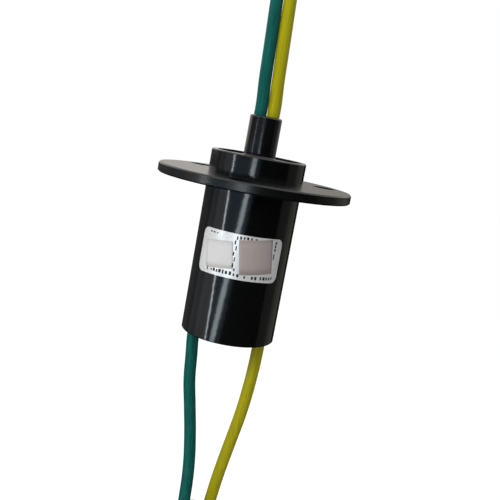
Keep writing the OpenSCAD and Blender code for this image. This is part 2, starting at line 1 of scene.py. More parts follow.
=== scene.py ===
# %% [markdown]
# # A capsule slip ring
# A slip ring carries current into something that turns. Its black tube stays still,
# its rotor turns inside, and brushes rub on gold rings between the two. This lesson
# loads the finished solids, winds the leads, gives each piece the material of the
# real one, and sets a small studio round them. Lengths are metres, as in Blender.

# %% Load the solids
import math
import bpy
from mathutils import Matrix, Vector


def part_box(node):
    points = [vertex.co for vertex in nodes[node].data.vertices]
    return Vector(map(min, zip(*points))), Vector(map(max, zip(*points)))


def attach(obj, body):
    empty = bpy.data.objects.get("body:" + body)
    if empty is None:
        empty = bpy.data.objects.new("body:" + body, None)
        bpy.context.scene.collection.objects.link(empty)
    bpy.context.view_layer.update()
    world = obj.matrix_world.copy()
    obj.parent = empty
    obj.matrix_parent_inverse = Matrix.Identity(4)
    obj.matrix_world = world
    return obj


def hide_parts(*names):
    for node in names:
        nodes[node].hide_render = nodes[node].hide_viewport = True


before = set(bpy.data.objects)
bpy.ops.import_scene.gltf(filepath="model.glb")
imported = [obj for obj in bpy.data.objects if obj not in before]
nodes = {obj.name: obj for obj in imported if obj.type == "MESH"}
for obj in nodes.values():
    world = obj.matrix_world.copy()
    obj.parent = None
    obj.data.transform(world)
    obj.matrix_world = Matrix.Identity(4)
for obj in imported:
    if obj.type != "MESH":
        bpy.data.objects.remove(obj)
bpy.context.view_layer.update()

MM = 0.001

# %% [markdown]
# ## Camera
# The part is seen from close by, a little above its flange, and the camera leans
# about ten degrees, so the tube looks tilted. A camera looks down its own -Z, so its
# turn is built from three directions: to the right, up, and ahead. That is easier to
# follow than three Euler angles when the camera leans.

# %% Camera
CAMERA_PLACE = Vector((0, -177.8, 13.87)) * MM
CAMERA_YAW = math.radians(0.58)
CAMERA_PITCH = math.radians(-9.15)
CAMERA_LEAN = math.radians(10.44)
CAMERA_LENS = 55.38

ahead = Vector((
    math.sin(CAMERA_YAW) * math.cos(CAMERA_PITCH),
    math.cos(CAMERA_YAW) * math.cos(CAMERA_PITCH),
    math.sin(CAMERA_PITCH)))
level_right = Vector((math.cos(CAMERA_YAW), -math.sin(CAMERA_YAW), 0))
level_up = level_right.cross(ahead)
right = math.cos(CAMERA_LEAN) * level_right + math.sin(CAMERA_LEAN) * level_up
up = math.cos(CAMERA_LEAN) * level_up - math.sin(CAMERA_LEAN) * level_right

camera = bpy.data.objects.new("camera", bpy.data.cameras.new("camera"))
bpy.context.scene.collection.objects.link(camera)
camera.data.lens = CAMERA_LENS
camera.data.clip_start = 0.01
turn = Matrix((right, up, -ahead)).transposed().to_4x4()
camera.matrix_world = Matrix.Translation(CAMERA_PLACE) @ turn
bpy.context.scene.camera = camera
print("camera at", [round(v, 4) for v in CAMERA_PLACE], "lens", CAMERA_LENS)

# %% [markdown]
# ## Leads
# Two leads leave the rotor's sleeve and two leave the end cap. Each is 250 mm of
# soft hook-up wire, 2.9 mm over its insulation. What isn't needed is folded into a
# hank, two layers deep, held by a tie: the rotor's pair arches over and hangs behind
# the tube, and the stator's pair hangs below. A curve with a round bevel is the
# plainest way to make a wire: its line is the wire's centre. The free part is a list
# of points, and the hank is worked out, run by run and fold by fold.

# %% Routes of the leads, in millimetres
LEAD_D = 2.9
HANK_BEND = 8.7
HANK_LAYER = 3
FOLD_STEPS = 9
RUN_STEPS = 5
ROUTES = {
    "green_rotor": [
        (-1.5, 0, 16.2), (-1.5, 0, 19), (-1.8, 0, 24), (-2, 0, 30), (-2.2, 0, 36), (-2.4, 0, 42),
        (-2.5, 1.5, 48.5), (-2.5, 6, 53.5), (-2.5, 12.5, 55.5), (-2.5, 19, 53.5),
        (-2.5, 23.5, 48.5), (-2.5, 25, 42), (-2.3, 25, 36), (-2, 25, 29), (-1.7, 25, 22),
        (-1.5, 25, 15), (-1.5, 25, 9), (-2, 25, 3), (-4, 25, -4), (-6.8, 25, -11),
        (-8.7, 25, -19)],
    "yellow_rotor": [
        (1.5, 0, 16.2), (1.5, 0, 19), (1.2, 0, 24), (1, 0, 30), (0.8, 0, 36), (0.6, 0, 42),
        (0.5, 1.5, 48.5), (0.5, 6, 53.5), (0.5, 12.5, 55.5), (0.5, 19, 53.5),
        (0.5, 23.5, 48.5), (0.5, 25, 42), (0.7, 25, 36), (1, 25.4, 29), (1.3, 27, 22),
        (1.6, 29.4, 15), (1.9, 30.8, 9), (2.6, 31, 3), (4.3, 31, -4), (6.8, 31, -11),
        (8.7, 31, -19)],
    "green_stator": [
        (-7.9, 0, -35), (-7.9, 0, -37.5), (-7.5, 0, -42), (-6.9, 0, -48.5), (-5.7, -0.2, -55),
        (-4.4, -0.8, -62), (-3.4, -2, -69), (-3, -3.5, -76), (-3.1, -4.4, -82.5),
        (-4.2, -4.5, -89), (-6.4, -4.5, -96), (-8.7, -4.5, -104)],
    "yellow_stator": [
        (7.9, 0, -35), (7.9, 0, -37.5), (7.8, 0, -42), (7.4, 0, -48.5), (6.7, 0.1, -55),
        (5.6, 0.4, -62), (4.5, 0.8, -69), (3.6, 1.2, -76), (3.2, 1.5, -82.5),
        (4.2, 1.5, -89), (6.4, 1.5, -96), (8.7, 1.5, -104)],
}
# Where a hank's lower and upper folds are centred, for each end of the part
HANK_FOLDS = {"rotor": (-31.5, -5), "stator": (-137, -91.5)}


def hank_points(start, folds):
    """Down, a fold, up on the other side, a fold, and down again beside the first run."""
    side = math.copysign(1, start[0])
    low, high = folds
    near, far = start[1], start[1] + HANK_LAYER
    bend = [math.pi * i / FOLD_STEPS for i in range(FOLD_STEPS + 1)]
    points = [(start[0], near, (start[2] + low) / 2)]
    points += [(side * HANK_BEND * math.cos(a), near, low - HANK_BEND * math.sin(a)) for a in bend]
    points += [(-start[0], near + HANK_LAYER * i / RUN_STEPS, low + (high - low) * i / RUN_STEPS)
               for i in range(1, RUN_STEPS)]
    points += [(-side * HANK_BEND * math.cos(a), far, high + HANK_BEND * math.sin(a))
               for a in bend]
    points += [(start[0], far, high + (low - high) * i / RUN_STEPS)
               for i in range(1, RUN_STEPS + 1)]
    return points


def smooth_curve(name, paths, radius):
    """A curve object with one smooth open spline for each path."""
    data = bpy.data.curves.new(name, "CURVE")
    data.dimensions = "3D"
    # Each point's radius is the wire's own, so the bevel's depth is one
    data.bevel_depth = 1
    data.bevel_resolution = 6
    data.resolution_u = 8
    data.use_fill_caps = True
    for path in paths:
        spline = data.splines.new("BEZIER")
        spline.bezier_points.add(len(path) - 1)
        for knot, point in zip(spline.bezier_points, path):
            knot.co = Vector(point) * MM
            knot.radius = radius * MM
            knot.handle_left_type = "AUTO"
            knot.handle_right_type = "AUTO"
    piece = bpy.data.objects.new(name, data)
    bpy.context.scene.collection.objects.link(piece)
    return piece


def path_length(path):
    return sum(math.dist(a, b) for a, b in zip(path, path[1:]))


leads = {}
lead_paths = {}
for lead_name, route in ROUTES.items():
    end = lead_name.split("_")[1]
    path = route + hank_points(route[-1], HANK_FOLDS[end])
    lead_paths[lead_name] = path
    leads[lead_name] = smooth_curve(lead_name + "_wire", [path], LEAD_D / 2)
    print(lead_name, "lead:", len(path), "points,", round(path_length(path), 1), "mm")

# %% [markdown]
# ## Tinned ends
# Each lead is stripped for 6 mm, and its strands are twisted and dipped in solder.
# Seven strands, six round one, keep the lay of the copper visible under the tin. Each
# strand is a spline of the same curve object, so an end stays one piece.

# %% Tinned ends
STRAND_R = 0.23
LAY_R = 0.46
LAY_TURNS = 0.6
TINNED_LENGTH = 6
OUTER_STRANDS = 6
STRAND_STEPS = 8


def tinned_strands(tip):
    """Paths of seven strands that hang straight down from a lead's end."""
    x, y, z = tip
    down = [TINNED_LENGTH * i / STRAND_STEPS for i in range(STRAND_STEPS + 1)]
    paths = [[(x, y, z - d) for d in down]]
    for strand in range(OUTER_STRANDS):
        start = math.radians(360 / OUTER_STRANDS * strand)
        paths.append([
            (x + LAY_R * math.cos(start + 2 * math.pi * LAY_TURNS * d / TINNED_LENGTH),
             y + LAY_R * math.sin(start + 2 * math.pi * LAY_TURNS * d / TINNED_LENGTH),
             z - d) for d in down])
    return paths


tinned = {}
for end in ("rotor", "stator"):
    tips = [lead_paths[colour + "_" + end][-1] for colour in ("green", "yellow")]
    strands = [path for tip in tips for path in tinned_strands(tip)]
    tinned[end] = smooth_curve(end + "_tinned_ends", strands, STRAND_R)
    print(end, "tinned ends:", len(strands), "strands")

# %% [markdown]
# ## Attaching the leads
# Each lead, and the tinned ends at each end of the part, hang from the empty of the
# body they turn with, and the model's own leads, hanks and wire ends are hidden.

for lead_name, piece in leads.items():
    colour, end = lead_name.split("_")
    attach(piece, end)
    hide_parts(lead_name + "_lead", lead_name + "_hank")
for end, piece in tinned.items():
    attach(piece, end)
    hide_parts(end + "_wire_ends")
print("leads declared:", len(leads))

# %% [markdown]
# ## Materials: the tools
# Every finish below is a Principled shader with a few nodes before it. Colours are
# written as sRGB hex, the way a paint chart gives them, and turned to linear light
# once. Patterns are placed by object coordinates, in metres, so a pattern's scale is
# one over its real size. Most surfaces need one grain that tints the colour, varies
# the gloss and raises the relief together, so a single recipe makes those.

# %% Material tools
GRAIN_DETAIL = 3.0
# Noise seldom leaves this range, so the shades are spread over it
GRAIN_LOW, GRAIN_HIGH = 0.3, 0.7


def linear(hex_colour):
    """The linear RGBA of an sRGB hex colour."""
    parts = [int(hex_colour[i:i + 2], 16) / 255 for i in (1, 3, 5)]
    return [c / 12.92 if c <= 0.04045 else ((c + 0.055) / 1.055) ** 2.4 for c in parts] + [1]


def add(tree, kind, inputs=None, **settings):
    """Adds a node. An input is a value, or another node's output to link."""
    node = tree.nodes.new("ShaderNode" + kind)
    for name, value in settings.items():
        setattr(node, name, value)
    for key, value in (inputs or {}).items():
        if isinstance(value, bpy.types.NodeSocket):
            tree.links.new(value, node.inputs[key])
        else:
            node.inputs[key].default_value = value
    return node


def blank_material(name):
    """A material with an empty node tree."""
    material = bpy.data.materials.new(name)
    material.use_nodes = True
    material.node_tree.nodes.clear()
    return material, material.node_tree


def grained(name, dark, light, rough, grain_mm, depth_mm, stretch=(1, 1, 1), **sockets):
    """A finish whose colour, gloss and relief all follow one grain."""
    material, tree = blank_material(name)
    place = add(tree, "TexCoord")
    laid = add(tree, "Mapping", {"Vector": place.outputs["Object"], "Scale": stretch})
    grain = add(tree, "TexNoise", {
        "Vector": laid.outputs["Vector"], "Scale": 1 / (grain_mm * MM), "Detail": GRAIN_DETAIL})
    share = add(tree, "MapRange", {
        "Value": grain.outputs["Fac"], "From Min": GRAIN_LOW, "From Max": GRAIN_HIGH})
    # Inputs 6 and 7 and output 2 are the colour sockets of Blender's Mix node
    tint = add(tree, "Mix", {0: share.outputs["Result"], 6: linear(dark), 7: linear(light)},
               data_type="RGBA")
    gloss = add(tree, "MapRange", {
        "Value": share.outputs["Result"], "To Min": rough[0], "To Max": rough[1]})
    bump = add(tree, "Bump", {"Height": grain.outputs["Fac"], "Distance": depth_mm * MM})
    shader = add(tree, "BsdfPrincipled", {
        "Base Color": tint.outputs[2], "Roughness": gloss.outputs["Result"],
        "Normal": bump.outputs["Normal"]})
    for socket, value in sockets.items():
        shader.inputs[socket.replace("_", " ")].default_value = value
    add(tree, "OutputMaterial", {"Surface": shader.outputs[0]})
    return material


def wear(piece, material):
    """Gives a piece one material on all its faces."""
    piece.data.materials.clear()
    piece.data.materials.append(material)


print("tools: linear, add, blank_material, grained, wear")

# %% [markdown]
# ## Moulded housing
# The tube, flange and collar are one moulding of black ABS. The tool is polished, so
# the wall mirrors its surroundings: to the eye it is a set of bright streaks on
# black. The plastic shrinks unevenly as it cools, and those slight waves break the
# streaks up. The flange is stoned to a lower polish and gives softer, greyer mirror
# images. One material does both: the distance from the axis picks the roughness.

# %% Housing patterns
ABS_IOR = 1.54
WAVE_MM = 1.6
WAVE_DEPTH_MM = 0.016
WAVE_DETAIL = 1.5
TONE_MM = 6.0
# The stoned grain is about 0.05 mm on a real tool; it is drawn coarser so it shows
STONE_MM = 0.18
STONE_DEPTH_MM = 0.002
POLISHED_ROUGH = (0.09, 0.14)
STONED_ROUGH = (0.20, 0.30)
# How far outside the tube's wall the flange's finish starts and is complete
FLANGE_FADE_MM = (0.05, 0.15)
# All of the housing below this height is tube, so its widest corner gives the radius
TUBE_ONLY_BELOW_MM = -1
tube_r = max(math.hypot(v.co.x, v.co.y) for v in nodes["housing"].data.vertices
             if v.co.z < TUBE_ONLY_BELOW_MM * MM) / MM
housing_black, tree = blank_material("moulded ABS, gloss black")
place = add(tree, "TexCoord")
axes = add(tree, "SeparateXYZ", {"Vector": place.outputs["Object"]})
flat = add(tree, "CombineXYZ", {"X": axes.outputs["X"], "Y": axes.outputs["Y"]})
from_axis = add(tree, "VectorMath", {0: flat.outputs["Vector"]}, operation="LENGTH")
on_flange = add(tree, "MapRange", {
    "Value": from_axis.outputs["Value"],
    "From Min": (tube_r + FLANGE_FADE_MM[0]) * MM,
    "From Max": (tube_r + FLANGE_FADE_MM[1]) * MM})
waves = add(tree, "TexNoise", {
    "Vector": place.outputs["Object"], "Scale": 1 / (WAVE_MM * MM), "Detail": WAVE_DETAIL})
stone = add(tree, "TexNoise", {
    "Vector": place.outputs["Object"], "Scale": 1 / (STONE_MM * MM), "Detail": GRAIN_DETAIL})
tone = add(tree, "TexNoise", {"Vector": place.outputs["Object"], "Scale": 1 / (TONE_MM * MM)})
print("tube radius", round(tube_r, 2), "mm; flange finish past", tube_r + FLANGE_FADE_MM[1], "mm")

# %% Housing shader
tint = add(tree, "Mix", {0: tone.outputs["Fac"], 6: linear("#060707"), 7: linear("#0c0d0d")},
           data_type="RGBA")
polished = add(tree, "MapRange", {
    "Value": tone.outputs["Fac"], "To Min": POLISHED_ROUGH[0], "To Max": POLISHED_ROUGH[1]})
stoned = add(tree, "MapRange", {
    "Value": stone.outputs["Fac"], "To Min": STONED_ROUGH[0], "To Max": STONED_ROUGH[1]})
rough = add(tree, "Mix", {
    0: on_flange.outputs["Result"], 2: polished.outputs["Result"], 3: stoned.outputs["Result"]})
wavy = add(tree, "Bump", {"Height": waves.outputs["Fac"], "Distance": WAVE_DEPTH_MM * MM})
stone_height = add(tree, "Math", {0: stone.outputs["Fac"], 1: on_flange.outputs["Result"]},
                   operation="MULTIPLY")
grainy = add(tree, "Bump", {
    "Height": stone_height.outputs["Value"], "Distance": STONE_DEPTH_MM * MM,
    "Normal": wavy.outputs["Normal"]})
shader = add(tree, "BsdfPrincipled", {
    "Base Color": tint.outputs[2], "Roughness": rough.outputs[0],
    "Normal": grainy.outputs["Normal"], "IOR": ABS_IOR})
add(tree, "OutputMaterial", {"Surface": shader.outputs[0]})
wear(nodes["housing"], housing_black)
print("housing material has", len(tree.nodes), "nodes")

# %% [markdown]
# ## Rotor and end cap
# The rotor is a second moulding, of black PBT filled with glass fibre. Its disc is
# faced in a lathe so that it runs true, and is satin. Its pale grey is partly the cut
# fibres and partly painted sheen, standing in for light that grazes it; the sleeve keeps
# its moulded skin and is darker. The end cap is plain satin ABS, which the eye takes as
# a soft grey black.

# %% Rotor patterns
PBT_IOR = 1.57
# Fibres are about 0.01 mm thick; their clumps are what shows
FIBRE_MM = 0.25
FIBRE_DEPTH_MM = 0.003
DISC_BELOW_TIP_MM = 9.5
FACED_ROUGH = (0.32, 0.46)
MOULDED_ROUGH = (0.15, 0.24)
# How far above the disc's face the moulded skin starts and is complete
SKIN_FADE_MM = (0.01, 0.1)
rotor_black, tree = blank_material("moulded PBT, black, faced disc with painted sheen")
disc_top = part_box("rotor_shaft")[1].z - DISC_BELOW_TIP_MM * MM
place = add(tree, "TexCoord")
axes = add(tree, "SeparateXYZ", {"Vector": place.outputs["Object"]})
above_disc = add(tree, "MapRange", {
    "Value": axes.outputs["Z"], "From Min": disc_top + SKIN_FADE_MM[0] * MM,
    "From Max": disc_top + SKIN_FADE_MM[1] * MM})
fibres = add(tree, "TexNoise", {
    "Vector": place.outputs["Object"], "Scale": 1 / (FIBRE_MM * MM), "Detail": GRAIN_DETAIL})
print("rotor disc top at", round(disc_top / MM, 2), "mm")

# %% Rotor shader and end cap
faced = add(tree, "MapRange", {
    "Value": fibres.outputs["Fac"], "To Min": FACED_ROUGH[0], "To Max": FACED_ROUGH[1]})
moulded = add(tree, "MapRange", {
    "Value": fibres.outputs["Fac"], "To Min": MOULDED_ROUGH[0], "To Max": MOULDED_ROUGH[1]})
rough = add(tree, "Mix", {
    0: above_disc.outputs["Result"], 2: faced.outputs["Result"], 3: moulded.outputs["Result"]})
# Pale grey on the disc: partly the cut fibres, partly painted sheen of light grazing the face
disc_tint_and_painted_sheen = add(tree, "Mix", {
    0: fibres.outputs["Fac"], 6: linear("#69676a"), 7: linear("#7b797c")}, data_type="RGBA")
skin_tint = add(tree, "Mix", {
    0: fibres.outputs["Fac"], 6: linear("#060707"), 7: linear("#0c0c0d")}, data_type="RGBA")
tint = add(tree, "Mix", {
    0: above_disc.outputs["Result"], 6: disc_tint_and_painted_sheen.outputs[2], 7: skin_tint.outputs[2]},
    data_type="RGBA")
bump = add(tree, "Bump", {"Height": fibres.outputs["Fac"], "Distance": FIBRE_DEPTH_MM * MM})
shader = add(tree, "BsdfPrincipled", {
    "Base Color": tint.outputs[2], "Roughness": rough.outputs[0],
    "Normal": bump.outputs["Normal"], "IOR": PBT_IOR})
add(tree, "OutputMaterial", {"Surface": shader.outputs[0]})
wear(nodes["rotor_shaft"], rotor_black)

# A satin tool's grain is about 0.03 mm; it is drawn coarser so it shows
cap_black = grained("moulded ABS, satin black", "#0b0b0c", "#131314", (0.24, 0.34), 0.3, 0.004,
                    IOR=ABS_IOR)
wear(nodes["end_cap"], cap_black)
print("rotor material has", len(tree.nodes), "nodes")

# %% [markdown]
# ## Insulation of the leads
# Hook-up wire wears soft PVC, drawn on through a die. The die leaves faint lines
# along the wire, and the plasticiser a low waxy gloss, so that the eye sees strong
# colour and hardly any highlight. The grain is stretched along the wire for that.

# %% PVC insulation
PVC_COLOURS = {"green": ("#01443e", "#045a53"), "yellow": ("#8a8500", "#a09a03")}
# Die lines are about 0.02 mm apart on real wire; they are drawn coarser so they show
DIE_LINE_MM = 0.35
DIE_LINE_DEPTH_MM = 0.005
insulation = {
    colour: grained("extruded soft PVC, " + colour, dark, light, (0.34, 0.46),
                    DIE_LINE_MM, DIE_LINE_DEPTH_MM, stretch=(1, 1, 0.05),
                    IOR=1.53, Specular_IOR_Level=0.14)
    for colour, (dark, light) in PVC_COLOURS.items()}
for lead_name, piece in leads.items():
    wear(piece, insulation[lead_name.split("_")[0]])
for colour in insulation:
    for end in ("rotor", "stator"):
        wear(nodes[colour + "_" + end + "_tail"], insulation[colour])
print("insulation:", sorted(insulation))

# %% [markdown]
# ## Metals inside
# A ball bearing is ground steel, bright and cool, with a machined brass cage. A
# circlip is phosphated spring steel, a dull dark grey. The slip rings and their
# brush wires are plated with hard gold, which is warm and very smooth. Tinned wire
# ends are silvery and a little lumpy. Each metal is one colour with its own polish.

# %% Metals
# Grinding, turning and drawing leave marks under a tenth of a millimetre, and crystals
# and plate are finer still. They are drawn coarser so they show; solder's lumps aren't
METALS = {
    # finish: dark, light, roughness low and high, mark in mm, mark's depth in mm
    "ground bearing steel": ("#b4b6b9", "#c6c8ca", (0.12, 0.22), 0.2, 0.0006),
    "machined brass": ("#b08d4c", "#c4a262", (0.22, 0.34), 0.3, 0.001),
    "phosphated spring steel": ("#3c3e40", "#55575a", (0.35, 0.50), 0.25, 0.002),
    "hard gold plate": ("#d2a24c", "#e3b766", (0.12, 0.20), 0.25, 0.0006),
    "bare copper": ("#b06a45", "#c98258", (0.25, 0.38), 0.3, 0.001),
    "tin solder": ("#a3a5a6", "#bcbebf", (0.22, 0.40), 0.5, 0.004),
}
metals = {name: grained(name, *recipe, Metallic=1.0) for name, recipe in METALS.items()}
WORN_METALS = {
    "ground bearing steel": ["front_outer_ring", "front_inner_ring", "front_balls",
                             "rear_outer_ring", "rear_inner_ring", "rear_balls"],
    "machined brass": ["front_cage", "rear_cage"],
    "phosphated spring steel": ["bearing_circlip", "stack_circlip"],
    "hard gold plate": ["upper_contact_ring", "lower_contact_ring",
                        "green_brushes", "yellow_brushes"],
    "bare copper": ["green_track", "yellow_track", "green_rotor_core", "yellow_rotor_core",
                    "green_stator_core", "yellow_stator_core"],
    "tin solder": ["solder_joints"],
}
for name, worn_by in WORN_METALS.items():
    for node in worn_by:
        wear(nodes[node], metals[name])
for piece in tinned.values():
    wear(piece, metals["tin solder"])
print("metals:", len(metals))

# %% [markdown]
# ## Plastics and resins inside
# The spacers are turned from natural nylon, a creamy white with a faint sheen. The
# brush boards are glass laminate under green solder mask. The sleeve is closed with
# cast epoxy, black and wet looking, and each tie is moulded black nylon, which is
# duller than the housing.

# %% Inner plastics
# Turned marks are about 0.1 mm apart and moulded grain 0.03 mm on the real pieces, and
# are drawn coarser so they show; the laminate's weave and the epoxy's ripples aren't
PLASTICS = {
    # finish: IOR, dark, light, roughness low and high, mark in mm, mark's depth in mm
    "turned natural nylon": (1.53, "#d9d2bf", "#e6e0cf", (0.35, 0.48), 0.4, 0.004),
    "glass laminate under solder mask": (1.55, "#1f5a30", "#2c7040", (0.20, 0.32), 0.5, 0.003),
    "cast epoxy": (1.55, "#141416", "#1c1c1e", (0.10, 0.20), 1.5, 0.01),
    "moulded nylon, black": (1.53, "#101011", "#1a1a1b", (0.38, 0.50), 0.3, 0.006),
}
plastics = {name: grained(name, *recipe, IOR=ior) for name, (ior, *recipe) in PLASTICS.items()}
WORN_PLASTICS = {
    "turned natural nylon": ["upper_spacer", "middle_spacer", "lower_spacer"],
    "glass laminate under solder mask": ["green_brush_board", "yellow_brush_board"],
    "cast epoxy": ["sleeve_potting"],
    "moulded nylon, black": ["rotor_lead_tie", "stator_lead_tie"],
}
for name, worn_by in WORN_PLASTICS.items():
    for node in worn_by:
        wear(nodes[node], plastics[name])
print("plastics:", len(plastics))

# %% [markdown]
# ## Label
# The label is a silvered polyester film. Its backing of vapour-coated aluminium makes
# it partly a mirror, and its satin coat spreads that, so the film is bright where a
# lamp is near and greyer on the far side. The print is plain: a pale field, a taupe
# field, and short dashes round them, all in flat ink that doesn't mirror.

# %% Label film and inks
# The grains of the satin coat and of the ink are a few hundredths of a millimetre on a
# real label; they are drawn coarser so they show
film = grained("polyester film, satin silver", "#d6d7d8", "#e3e4e5", (0.28, 0.36), 0.5, 0.002,
               IOR=1.58, Metallic=0.35)
wear(nodes["label"], film)
INKS = {"pale grey ink": ("#c3c3c4", "#c6c6c6"), "taupe ink": ("#978d8b", "#9a908e"),
        "black ink": ("#18181a", "#232326")}
inks = {name: grained(name, *shades, (0.50, 0.62), 0.6, 0.0005, IOR=1.5)
        for name, shades in INKS.items()}
print("film and inks:", sorted(inks))

# %% [markdown]
# ## Print
# Ink is a skin a few thousandths of a millimetre thick, drawn here a little thicker so
# that it clears the film. An image would be the usual way to print a label, but plain
# patches need none: each is a small grid of faces bent round the tube, and a Solidify
# modifier gives it the ink's thickness. All the patches of one ink share one mesh.

# %% Print on the label
FILM_THICK = 0.08
label_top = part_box("label")[1].z / MM
film_r = tube_r + FILM_THICK
INK_SKIN = 0.012
ARC_STEP = 0.5
# The two fields are printed askew: they rise to the right and lean as they go down
FIELD_DROP = -0.14
FIELD_LEAN = 0.17
# Each patch: how far round from the front (right is plus), how far down the label,
# width and height, all in millimetres, then its drop and lean if it is askew
PRINT = {
    "pale grey ink": [(-9.0, 2.7, 6.7, 6.1, FIELD_DROP, FIELD_LEAN)],
    "taupe ink": [(-1.05, 1.25, 7.7, 7.7, FIELD_DROP, FIELD_LEAN)],
    "black ink": [
        (-8.3, 0.6, 0.45, 0.3), (-7.5, 0.6, 0.6, 0.3), (-6.5, 0.6, 0.3, 0.3),
        (-1.6, 0.5, 0.3, 0.8), (-0.9, 0.4, 0.4, 0.7), (-0.1, 0.4, 0.35, 0.6),
        (0.6, 0.35, 0.5, 0.55), (1.5, 0.35, 0.35, 0.5), (2.5, 0.4, 0.45, 0.3),
        (-1.9, 1.5, 0.3, 0.9), (-1.5, 2.7, 0.25, 1.0), (-1.9, 4.1, 0.3, 0.8),
        (-1.45, 5.2, 0.25, 1.0), (-1.7, 6.6, 0.35, 0.9), (-1.2, 7.7, 0.35, 0.6),
        (7.6, 0.6, 0.4, 0.6), (7.6, 1.4, 0.4, 0.6), (7.6, 2.2, 0.4, 0.6), (7.6, 3.4, 0.28, 1.2),
        (-7.6, 8.6, 0.3, 0.8), (-6.6, 8.9, 0.5, 0.3), (-5.9, 8.6, 0.5, 0.7),
        (-5.1, 8.7, 0.35, 0.65), (-4.5, 8.5, 0.55, 0.8), (-3.6, 8.5, 0.35, 0.9),
        (-2.9, 8.6, 0.5, 0.7), (-2.0, 8.5, 0.5, 0.85),
        (-1.1, 8.8, 0.35, 0.6), (-0.3, 8.8, 0.5, 0.7), (1.3, 9.0, 0.4, 0.55),
        (3.0, 8.9, 0.5, 0.65), (3.8, 8.85, 0.5, 0.75), (5.1, 8.8, 0.4, 0.7),
        (5.8, 8.75, 0.55, 0.75),
        (6.6, 8.8, 0.4, 0.65), (7.3, 8.8, 0.35, 0.6), (8.0, 8.7, 0.3, 0.6)],
}


def patch(across, down, width, height, drop=0, lean=0):
    """Corners and faces of a patch bent round the film."""
    columns = max(1, round(width / ARC_STEP))
    # A leaning side goes round the tube as well, so it needs rows to follow it
    rows = 1 + math.ceil(lean * height / ARC_STEP)
    corners = []
    for i in range(columns + 1):
        along = width * i / columns
        for j in range(rows + 1):
            below = height * j / rows
            angle = (across + along + lean * below) / tube_r
            z = label_top - down - drop * along - below
            corners.append(Vector(
                (film_r * math.sin(angle), -film_r * math.cos(angle), z)) * MM)
    stride = rows + 1
    faces = [(i * stride + j, i * stride + j + 1, (i + 1) * stride + j + 1, (i + 1) * stride + j)
             for i in range(columns) for j in range(rows)]
    return corners, faces


def printed(name, patches, material):
    """One mesh of all the patches in one ink, as thick as the ink."""
    corners, faces = [], []
    for placed in patches:
        more_corners, more_faces = patch(*placed)
        faces += [[index + len(corners) for index in face] for face in more_faces]
        corners += more_corners
    mesh = bpy.data.meshes.new(name)
    mesh.from_pydata(corners, [], faces)
    for face in mesh.polygons:
        face.use_smooth = True
    piece = bpy.data.objects.new(name, mesh)
    bpy.context.scene.collection.objects.link(piece)
    skin = piece.modifiers.new("ink", "SOLIDIFY")
    skin.thickness = INK_SKIN * MM
    skin.offset = 1
    wear(piece, material)
    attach(piece, "stator")
    return piece


for ink_name, patches in PRINT.items():
    printed("label_" + ink_name.replace(" ", "_"), patches, inks[ink_name])
    print(ink_name, "patches:", len(patches))

# %% [markdown]
# ## Studio
# The floor and the world are white where the camera and mirrors look, and plain soft
# light falls from all round, with one lamp to the upper left. Black gloss shows its
# surroundings and little else, so it is lit by what it mirrors, which the cards below
# see to.

# %% World and floor
WHITE = [1, 1, 1, 1]
FLOOR_Z = -0.1505
FLOOR_HALF = 3.0
AMBIENT = 0.52
FLOOR_GLOW = 1.56
# Half of what is seen of the floor is its own white, and half its lit paper
FLOOR_SHARE = 0.5

world = bpy.data.worlds.new("studio air")
bpy.context.scene.world = world
world.use_nodes = True
tree = world.node_tree
tree.nodes.clear()


def seen_directly(tree):
    """One where a camera, a mirror or glass looks, and nought for soft light."""
    rays = add(tree, "LightPath")
    mirrored = add(tree, "Math", {0: rays.outputs["Is Camera Ray"],
                                  1: rays.outputs["Is Glossy Ray"]}, operation="MAXIMUM")
    seen = add(tree, "Math", {0: mirrored.outputs["Value"],
                              1: rays.outputs["Is Transmission Ray"]}, operation="MAXIMUM")
    return seen.outputs["Value"]


soft = add(tree, "Background", {"Color": WHITE, "Strength": AMBIENT})
bright = add(tree, "Background", {"Color": WHITE, "Strength": 1.0})
either = add(tree, "MixShader", {0: seen_directly(tree), 1: soft.outputs[0], 2: bright.outputs[0]})
add(tree, "OutputWorld", {"Surface": either.outputs[0]})

floor_mesh = bpy.data.meshes.new("floor")
floor_mesh.from_pydata(
    [(x * FLOOR_HALF, y * FLOOR_HALF, FLOOR_Z) for x, y in ((-1, -1), (1, -1), (1, 1), (-1, 1))],
    [], [(0, 1, 2, 3)])
floor = bpy.data.objects.new("floor", floor_mesh)
bpy.context.scene.collection.objects.link(floor)
floor_white, tree = blank_material("white paper floor")
paper = add(tree, "BsdfDiffuse", {"Color": linear("#f2f2f0")})
glow = add(tree, "Emission", {"Color": WHITE, "Strength": FLOOR_GLOW})
share = add(tree, "Math", {0: seen_directly(tree), 1: FLOOR_SHARE}, operation="MULTIPLY")
floor_mix = add(tree, "MixShader", {
    0: share.outputs["Value"], 1: paper.outputs[0], 2: glow.outputs[0]})
add(tree, "OutputMaterial", {"Surface": floor_mix.outputs[0]})
floor_mesh.materials.append(floor_white)
print("floor at", round(FLOOR_Z / MM, 1), "mm, soft light", AMBIENT)

# %% [markdown]
# ## Lamp
# One broad lamp to the upper left gives the leads and the label a lit side and a dark
# side. Its own mirror image would be a square patch on the tube, so mirrors don't see
# it; the cards make the highlights instead.

# %% Lamp
KEY_PLACE = Vector((-0.28, -0.36, 0.22))
KEY_POWER = 1.85
KEY_SIZE = 0.25
key_data = bpy.data.lights.new("key", "AREA")
key_data.energy = KEY_POWER
key_data.size = KEY_SIZE
key = bpy.data.objects.new("key", key_data)
bpy.context.scene.collection.objects.link(key)
key.location = KEY_PLACE
key.rotation_euler = (-KEY_PLACE).to_track_quat("-Z", "Y").to_euler()
key.visible_glossy = False
print("key lamp:", KEY_POWER, "W,", KEY_SIZE, "m wide")

